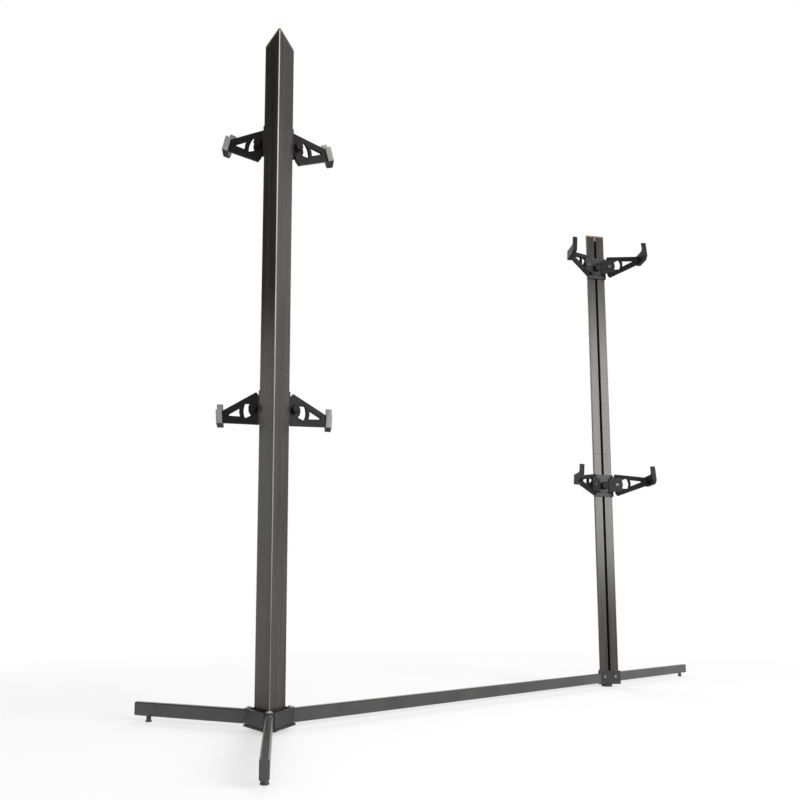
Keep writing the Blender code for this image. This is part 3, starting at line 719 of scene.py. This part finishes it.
def evened(outline, step=0.0008):
    """The closed outline in even steps, each point averaged with its neighbours: soft corners."""
    closed = np.concatenate([outline, outline[:1]])
    run = distances(closed)
    line = along_path(closed, np.arange(0, run[-1], step), run)
    return (np.roll(line, 1, 0) + 2 * line + np.roll(line, -1, 0)) / 4


# the rim's section: how far out from the window's edge and how far proud of the arm's face
RIM_SECTION = [(0.0004, -0.0003), (0.0004, 0.0006), (0.0008, 0.0009)]
RIM_SECTION += [(0.0018, 0.0009), (0.0023, 0.0005), (0.0025, -0.0003)]


def rim_grid(outline, side):
    """The rim's section carried round an outline in the arm's XZ plane, on one face of the arm."""
    line = evened(outline)
    along = np.roll(line, -1, 0) - np.roll(line, 1, 0)
    along /= np.linalg.norm(along, axis=1, keepdims=True)
    out = np.stack([along[:, 1], -along[:, 0]], -1)
    section = np.array(RIM_SECTION)
    flat = line[:, None, :] + out[:, None, :] * section[None, :, :1]
    depth = side * (ARM_HALF + np.broadcast_to(section[None, :, 1], flat.shape[:2]))
    return np.stack([flat[..., 0], depth, flat[..., 1]], -1)


# %% Window outlines
CRESCENT_INNER, INNER_SPAN = 0.0245, 48
CRESCENT_OUTER, OUTER_SPAN = 0.0455, 30
WINDOW_START, WINDOW_END, WINDOW_HALF = 0.0545, 0.0965, 0.0140
CRESCENT = np.concatenate(
    [
        arc_line(CRESCENT_OUTER, -OUTER_SPAN, OUTER_SPAN, 24),
        arc_line(CRESCENT_INNER, INNER_SPAN, -INNER_SPAN, 24),
    ]
)
WINDOW = np.array(
    [
        (WINDOW_START, -WINDOW_HALF),
        (WINDOW_END, -WINDOW_HALF / 4),
        (WINDOW_END, WINDOW_HALF / 8),
        (WINDOW_START, WINDOW_HALF),
        (WINDOW_START + WINDOW_HALF / 6, 0.0),
    ]
)
print("crescent", len(evened(CRESCENT)), "points round, window", len(evened(WINDOW)))

# %% Arm rims
RIM_SMOOTH_BELOW = 50
for name, (right, height, tilt) in CRADLES.items():
    for number, side in ARMS:
        base = pivot_matrix(right, height, side) @ turn_y(-tilt)
        grids = [rim_grid(CRESCENT, -side), rim_grid(WINDOW, -side), rim_grid(WINDOW, side)]
        points, faces, start = [], [], 0
        for grid, mirror in zip(grids, (side < 0, side < 0, side > 0)):
            quads = grid_faces(*grid.shape[:2], round_rows=True)
            faces.append((quads[:, ::-1] if mirror else quads) + start)
            points.append(grid.reshape(-1, 3))
            start += len(points[-1])
        points = placed(np.concatenate(points), base)
        mesh = write_mesh(f"{name}_rims_{number}", points, faces, RIM_SMOOTH_BELOW)
        piece(f"{name}_rims_{number}", mesh, arm_plastic, f"{name}_tilt_arm_{number}")
print("rims", 6 * len(CRADLES))

# %% [markdown]
# ## Feet and screws
# Each leg stands on a levelling foot: a moulded sole with a rounded rim, a threaded peg that
# adjusts the height and a stud inside the leg. A thread could be a helix, but at this size plain
# rings look the same, so the peg's radius is a wave of the height. The hub's tabs are held by
# button screws on washers, and two more hold the right column in its sleeve. Their sockets are
# round, because at this size a hexagon doesn't show.


# %% Levelling feet
SOLE_TOP = 0.006
SOLE_RADIUS = 0.009
SOLE_ROUNDING = 0.0012
PEG_RADIUS = 0.007
PEG_TOP = 0.017
FOOT_STUD_RADIUS = 0.005
FOOT_STUD_LENGTH = 0.020
THREAD_PITCH = 0.0016
THREAD_DEPTH = 0.0003


def foot_profile():
    """Rows of radius and height: rounded sole, threaded peg, plain stud.

    On the peg, r(z) = PEG_RADIUS - THREAD_DEPTH * |sin(pi * z / THREAD_PITCH)|.
    """
    bend = np.linspace(0, np.pi / 2, 6)
    rim_radius = SOLE_RADIUS - SOLE_ROUNDING * (1 - np.sin(bend))
    rim = np.stack([rim_radius, SOLE_ROUNDING * (1 - np.cos(bend))], -1)
    shoulder = [(SOLE_RADIUS, SOLE_TOP * 0.55), (SOLE_RADIUS - 0.0008, SOLE_TOP * 0.7)]
    shoulder += [(PEG_RADIUS, SOLE_TOP)]
    height = np.arange(SOLE_TOP + 0.0004, PEG_TOP - 0.0004, THREAD_PITCH / 6)
    wave = np.abs(np.sin(np.pi * height / THREAD_PITCH))
    thread = np.stack([PEG_RADIUS - THREAD_DEPTH * wave, height], -1)
    stud_top = PEG_TOP + FOOT_STUD_LENGTH
    end = [(PEG_RADIUS - 0.0004, PEG_TOP), (FOOT_STUD_RADIUS, PEG_TOP)]
    end += [(FOOT_STUD_RADIUS, stud_top - 0.0005), (FOOT_STUD_RADIUS - 0.0006, stud_top)]
    return np.concatenate([rim, shoulder, thread, end])


for leg in ("left", "front", "right"):
    low, high = np.array(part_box(f"{leg}_levelling_foot"), float)
    middle = (low + high) / 2
    mesh = turned(f"{leg}_foot_turned", foot_profile(), move(middle[0], middle[1], 0), 64)
    piece(f"{leg}_foot_turned", mesh, foot_plastic, f"{leg}_foot", f"{leg}_levelling_foot")
print("foot rows", len(foot_profile()))

# %% Screws of the hub and the sleeve
HUB_TOP = 0.0603
SCREW_OUT = 0.0653
LEG_ANGLES = (30, 150, 270)
WASHER_THICKNESS = 0.0013
WASHER = [(0.0108, 0), (0.0112, 0.0003), (0.0112, 0.0010), (0.0108, WASHER_THICKNESS)]
SLEEVE_WALL = 0.005
SLEEVE_FACE = FACE + GAP + SLEEVE_WALL
SLEEVE_SCREW_ACROSS = 0.024
SLEEVE_SCREW_HEIGHT = 0.043


def screw_profile():
    """Rows of radius and height: foot, quarter-round dome and socket of a button screw."""
    dome = np.linspace(0, np.pi / 2, 7)
    head = np.stack([0.0036 + 0.0034 * np.cos(dome), 0.0004 + 0.0024 * np.sin(dome)], -1)
    socket = [(0.0030, 0.0028), (0.0028, 0.0012), (0.0005, 0.0010)]
    return [(0.0066, 0), *head, *socket]


for number, azimuth in enumerate(LEG_ANGLES, 1):
    at = turn_z(math.radians(azimuth)) @ move(SCREW_OUT, 0, HUB_TOP + GAP)
    mesh = turned(f"hub_washer_{number}", WASHER, at)
    piece(f"hub_washer_{number}", mesh, zinc, "stand")
    mesh = turned(f"hub_screw_{number}", screw_profile(), at @ move(0, 0, WASHER_THICKNESS + GAP))
    piece(f"hub_screw_{number}", mesh, zinc, "stand")
for number, across in enumerate((-SLEEVE_SCREW_ACROSS, SLEEVE_SCREW_ACROSS), 1):
    at = RIGHT @ move(across, SLEEVE_FACE + GAP, SLEEVE_SCREW_HEIGHT) @ turn_x(-math.pi / 2)
    mesh = turned(f"sleeve_screw_{number}", screw_profile(), at)
    piece(f"sleeve_screw_{number}", mesh, bolt_steel, "stand")
print("screws", len(LEG_ANGLES) + 2)

# %% [markdown]
# ## Hook liners
# The grey strip in each hook is soft rubber with small ribs across it, which keep a load from
# slipping. It could be a plain bent strip with a bump map, but real ribs show in silhouette, so the
# strip is a ribbon carried along the hook's path: up the back, along the rest and up the finger,
# with a thickness that waves along the rest and the finger.


# %% The hook's place and path
HOOK_DEPTH = 0.060
HOOK_BELOW = 0.024
HOOK_ABOVE = 0.052
HOOK_FLOOR = 0.0160
HOOK_WIDTH = 0.019
HOOK_BACK = 0.009
HOOK_THROAT = 0.008
FINGER = 0.006
LINER = 0.003
ARM_LENGTH = 0.126
LINER_BEND = 0.0022
LINER_STEP = 0.0008


def hook_matrix(base, side, tilt):
    """The hook's own axes: Y out of the cradle, Z up at no tilt."""
    tip_x = (ARM_LENGTH - HOOK_THROAT) * math.cos(ARM_SPREAD)
    tip_y = (ARM_LENGTH - HOOK_THROAT) * math.sin(ARM_SPREAD)
    mirror = np.diag([1, side, 1, 1.0])
    return base @ turn_y(-tilt) @ mirror @ turn_z(-ARM_SPREAD) @ move(tip_x, tip_y - HOOK_BACK, 0)


def rounded_path(corners, radius, steps=6):
    """A line through corners, each inner corner p rounded by a quadratic curve from a to b.

    c(t) = (1 - t)**2 * a + 2 * t * (1 - t) * p + t**2 * b
    """
    corners = np.asarray(corners, float)
    before, at, after = corners[:-2], corners[1:-1], corners[2:]
    unit_in = (before - at) / np.linalg.norm(before - at, axis=1, keepdims=True)
    unit_out = (after - at) / np.linalg.norm(after - at, axis=1, keepdims=True)
    t = np.linspace(0, 1, steps)[None, :, None]
    start, end = at + radius * unit_in, at + radius * unit_out
    curve = (1 - t) ** 2 * start[:, None] + 2 * t * (1 - t) * at[:, None] + t**2 * end[:, None]
    return np.concatenate([corners[:1], curve.reshape(-1, 2), corners[-1:]])


def liner_path():
    """The strip's middle line in even steps, and the distance along it at each point."""
    wall = HOOK_DEPTH - FINGER - GAP
    floor_height = HOOK_FLOOR + GAP
    middle = LINER / 2
    corners = [
        (middle, -HOOK_BELOW),
        (middle, floor_height + middle),
        (wall - HOOK_THROAT, floor_height + middle),
        (wall - middle, floor_height + HOOK_THROAT),
        (wall - middle, HOOK_ABOVE),
    ]
    path = rounded_path(corners, LINER_BEND)
    run = distances(path)
    at = np.linspace(0, run[-1], int(run[-1] / LINER_STEP))
    return along_path(path, at, run), at


print("liner points", len(liner_path()[1]))

# %% Liners
RIB_SPACING = 0.004
RIB_DEPTH = 0.00035
LINER_SKIN = 0.0001
LINER_EDGE = 0.0006
LINER_SHOULDER = 0.0016


def liner_grid():
    """Ribbed strip round the hook: one side even, the other waving along the rest and the finger.

    wave(s) = RIB_DEPTH * (1 + cos(2 * pi * s / RIB_SPACING)) / 2, with s the distance along it.
    """
    path, run = liner_path()
    tangent = np.gradient(path, axis=0)
    tangent /= np.linalg.norm(tangent, axis=1, keepdims=True)
    normal = np.stack([-tangent[:, 1], tangent[:, 0]], -1)
    wave = RIB_DEPTH * (0.5 + 0.5 * np.cos(2 * np.pi * run / RIB_SPACING))[:, None]
    half = LINER / 2 - LINER_SKIN
    left = path + normal * half
    right = path - normal * half
    back = run < HOOK_BELOW + HOOK_FLOOR + GAP
    inner = np.where(back[:, None], left, left - normal * wave)
    near = np.array([LINER_EDGE, LINER_SHOULDER])
    across = np.concatenate([near, HOOK_WIDTH - near[::-1]])
    pull = np.array([LINER_EDGE, 0, 0, LINER_EDGE])[None, :, None]
    top = inner[:, None, :] - normal[:, None, :] * pull
    base = right[:, None, :] + normal[:, None, :] * pull
    ring = np.concatenate([top, base[:, ::-1]], 1)
    across = np.concatenate([across, across[::-1]])
    return np.concatenate([np.broadcast_to(across[None, :, None], (*ring.shape[:2], 1)), ring], -1)


for name, (right, height, tilt) in CRADLES.items():
    for number, side in ARMS:
        label = f"{name}_ribbed_{number}"
        matrix = hook_matrix(pivot_matrix(right, height, side), side, tilt)
        mesh = closed_grid(label, liner_grid(), matrix)
        arm = f"{name}_tilt_arm_{number}"
        piece(label, mesh, liner_rubber, arm, f"{name}_liner_{number}")
print("liners", 2 * len(CRADLES))

# %% [markdown]
# ## Floor and light
# The photograph has a white ground, so the floor is pale, keeps the stand's shadow and fades into
# a white world further off. It could be lit white all over, but then the shadow would go. A large
# lamp on the right lights the stand, a weaker one fills in from the front and one behind marks the
# edges. Glossy black metal shows what it mirrors, so two cards that the camera doesn't see hang
# round it, as in a studio: a black one high on the left and a grey one overhead.


# %% Floor
def rays_that_show(tree):
    """1 for rays that show the background itself: the camera's, a gloss's and a clear body's."""
    kind = tree.nodes.new("ShaderNodeLightPath")
    shown = kind.outputs["Is Camera Ray"]
    for other in ("Is Glossy Ray", "Is Transmission Ray"):
        shown = combined(tree, "MAXIMUM", shown, kind.outputs[other])
    return shown


def sheet(name, corners, material):
    """A flat sheet of four corners."""
    mesh = bpy.data.meshes.new(name)
    mesh.from_pydata(corners, [], [(0, 1, 2, 3)])
    made = bpy.data.objects.new(name, mesh)
    bpy.context.collection.objects.link(made)
    mesh.materials.append(material)
    return made


FLOOR_HALF = 30
FLOOR_DROP = 0.0005
FLOOR_SHADE = 0.86
FADE_PLACE, FADE_SCALE = (-0.24, -0.11, 0), (0.36, 0.36, 0)
FADE_NEAR, FADE_FAR = 0.25, 1.3
GLOW_NEAR, GLOW_FAR = 0.55, 1.0
floor_paint = bpy.data.materials.new("floor_paint")
floor_paint.use_nodes = True
tree = floor_paint.node_tree
shader = tree.nodes["Principled BSDF"]
shader.inputs["Base Color"].default_value = (FLOOR_SHADE, FLOOR_SHADE, FLOOR_SHADE, 1)
shader.inputs["Roughness"].default_value = 0.7
shader.inputs["Specular IOR Level"].default_value = 0.2
glow = tree.nodes.new("ShaderNodeEmission")
glow.inputs["Color"].default_value = (1, 1, 1, 1)
place = tree.nodes.new("ShaderNodeTexCoord")
centred = tree.nodes.new("ShaderNodeMapping")
centred.inputs["Location"].default_value = FADE_PLACE
centred.inputs["Scale"].default_value = FADE_SCALE
tree.links.new(place.outputs["Object"], centred.inputs["Vector"])
spread = tree.nodes.new("ShaderNodeVectorMath")
spread.operation = "LENGTH"
tree.links.new(centred.outputs["Vector"], spread.inputs[0])
fade = tree.nodes.new("ShaderNodeMapRange")
fade.interpolation_type = "SMOOTHSTEP"
fade.inputs["From Min"].default_value = FADE_NEAR
fade.inputs["From Max"].default_value = FADE_FAR
fade.inputs["To Min"].default_value = GLOW_NEAR
fade.inputs["To Max"].default_value = GLOW_FAR
tree.links.new(spread.outputs["Value"], fade.inputs["Value"])
share = combined(tree, "MULTIPLY", rays_that_show(tree), fade.outputs["Result"])
blend = tree.nodes.new("ShaderNodeMixShader")
tree.links.new(share, blend.inputs["Fac"])
tree.links.new(shader.outputs["BSDF"], blend.inputs[1])
tree.links.new(glow.outputs["Emission"], blend.inputs[2])
tree.links.new(blend.outputs["Shader"], tree.nodes["Material Output"].inputs["Surface"])
floor_signs = ((-1, -1), (1, -1), (1, 1), (-1, 1))
floor_corners = [(FLOOR_HALF * x, FLOOR_HALF * y, 0) for x, y in floor_signs]
floor = sheet("floor", floor_corners, floor_paint)
floor.location.z = -FLOOR_DROP
print("floor", 2 * FLOOR_HALF, "m wide")

# %% World
WORLD_LIGHT, WORLD_SHOWN = 0.55, 1.0
world = bpy.data.worlds.new("studio")
bpy.context.scene.world = world
world.use_nodes = True
tree = world.node_tree
sky = tree.nodes["Background"]
sky.inputs["Color"].default_value = (1, 1, 1, 1)
level = tree.nodes.new("ShaderNodeMapRange")
level.inputs["To Min"].default_value = WORLD_LIGHT
level.inputs["To Max"].default_value = WORLD_SHOWN
tree.links.new(rays_that_show(tree), level.inputs["Value"])
tree.links.new(level.outputs["Result"], sky.inputs["Strength"])
print("world lights with", WORLD_LIGHT, "and shows as", WORLD_SHOWN)

# %% Lamps
# each lamp: its place, the point that it is aimed at, its width in metres and its power in watts
LAMPS = {
    "key": ((4.0, -3.6, 2.3), (0.9, 0.5, 1.1), 3.0, 330),
    "front": ((-0.6, -5.0, 2.4), (0.3, 0.2, 1.0), 3.0, 110),
    "rim": ((0.5, 4.0, 3.2), (0.6, 0.4, 1.0), 2.4, 60),
}


def lamp(name, place, target, size, power):
    """A square area lamp aimed at a point."""
    data = bpy.data.lights.new(name, "AREA")
    data.size = size
    data.energy = power
    made = bpy.data.objects.new(name, data)
    bpy.context.collection.objects.link(made)
    made.location = place
    east, north, up = np.array(target, float) - np.array(place, float)
    heading = math.atan2(north, east) - math.pi / 2
    made.rotation_euler = (math.atan2(math.hypot(east, north), -up), 0, heading)


for name, (place, target, size, power) in LAMPS.items():
    lamp(name, place, target, size, power)
print("lamps", len(LAMPS))

# %% Cards
# each card: its four corners and its shade
CARD_ROUGHNESS = 0.9
CARDS = {
    "flag": ([(-3.0, -2.0, 2.7), (-3.0, 4.5, 2.7), (-3.0, 4.5, 7.0), (-3.0, -2.0, 7.0)], 0.01),
    "ceiling": ([(-2.5, -9.0, 6.5), (5.6, -9.0, 6.5), (5.6, 8.0, 6.5), (-2.5, 8.0, 6.5)], 0.4),
}


def card(name, corners, shade):
    """A flat matt card that gloss mirrors: the camera and the lamps' light pass through it."""
    cloth = bpy.data.materials.new(f"{name}_cloth")
    cloth.use_nodes = True
    shader = cloth.node_tree.nodes["Principled BSDF"]
    shader.inputs["Base Color"].default_value = (shade, shade, shade, 1)
    shader.inputs["Roughness"].default_value = CARD_ROUGHNESS
    made = sheet(name, corners, cloth)
    made.visible_camera = False
    made.visible_shadow = False
    return made


cards = {name: card(name, corners, shade) for name, (corners, shade) in CARDS.items()}
# the grey card overhead takes no light away from matt surfaces
cards["ceiling"].visible_diffuse = False
bpy.context.scene.view_settings.view_transform = "Standard"
print("cards", len(cards))
